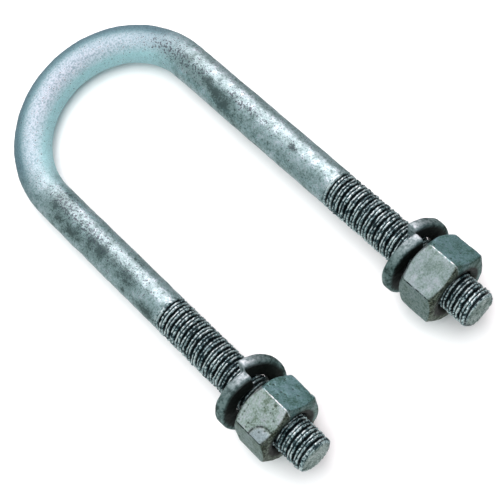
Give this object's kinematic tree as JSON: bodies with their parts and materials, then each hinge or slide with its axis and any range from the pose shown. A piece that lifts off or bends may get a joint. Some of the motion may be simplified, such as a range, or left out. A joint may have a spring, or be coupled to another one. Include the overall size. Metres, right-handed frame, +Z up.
{
  "type": "u-bolt",
  "caption": "Galvanised round-bend U-bolt: a rod bent over a pipe, threaded at its ends, with split lock washers and hexagon nuts.",
  "frame": {"origin": "middle of the box round the whole object, on the surface it lies on", "axes": "+Z up; the legs point along -Y and the bend is at +Y; +X is to the right seen from the nuts' end"},
  "size_m": [0.0444, 0.0846, 0.0127],
  "materials": {
    "rod_zinc": "hot-dip galvanised, pale blue-grey zinc with a fine mottle",
    "washer_zinc": "hot-dip galvanised, dull grey",
    "nut_zinc": "hot-dip galvanised, grey-green with small pits"
  },
  "bodies": {
    "rod": {"bent_rod": "rod_zinc"},
    "left_washer": {"left_lock_washer": "washer_zinc"},
    "left_nut": {"left_hex_nut": "nut_zinc"},
    "right_washer": {"right_lock_washer": "washer_zinc"},
    "right_nut": {"right_hex_nut": "nut_zinc"}
  },
  "joints": [
    {"name": "left_washer_slide", "type": "slide", "parent": "rod", "child": "left_washer", "axis": [0, 1, 0], "range_m": [-0.01906, 0.02033]},
    {"name": "left_nut_turn", "type": "hinge", "parent": "left_washer", "child": "left_nut", "pos_m": [-0.01588, -0.03087, 0.00635], "axis": [0, 1, 0], "range_deg": [-5400, 5760]},
    {"name": "right_washer_slide", "type": "slide", "parent": "rod", "child": "right_washer", "axis": [0, 1, 0], "range_m": [-0.01779, 0.01779]},
    {"name": "right_nut_turn", "type": "hinge", "parent": "right_washer", "child": "right_nut", "pos_m": [0.01588, -0.03438, 0.00635], "axis": [0, 1, 0], "range_deg": [-5040, 5040]}
  ],
  "couplings": [
    {"joint": "left_washer_slide", "follows": "left_nut_turn", "m_per_rad": 0.00020213},
    {"joint": "right_washer_slide", "follows": "right_nut_turn", "m_per_rad": 0.00020213}
  ]
}
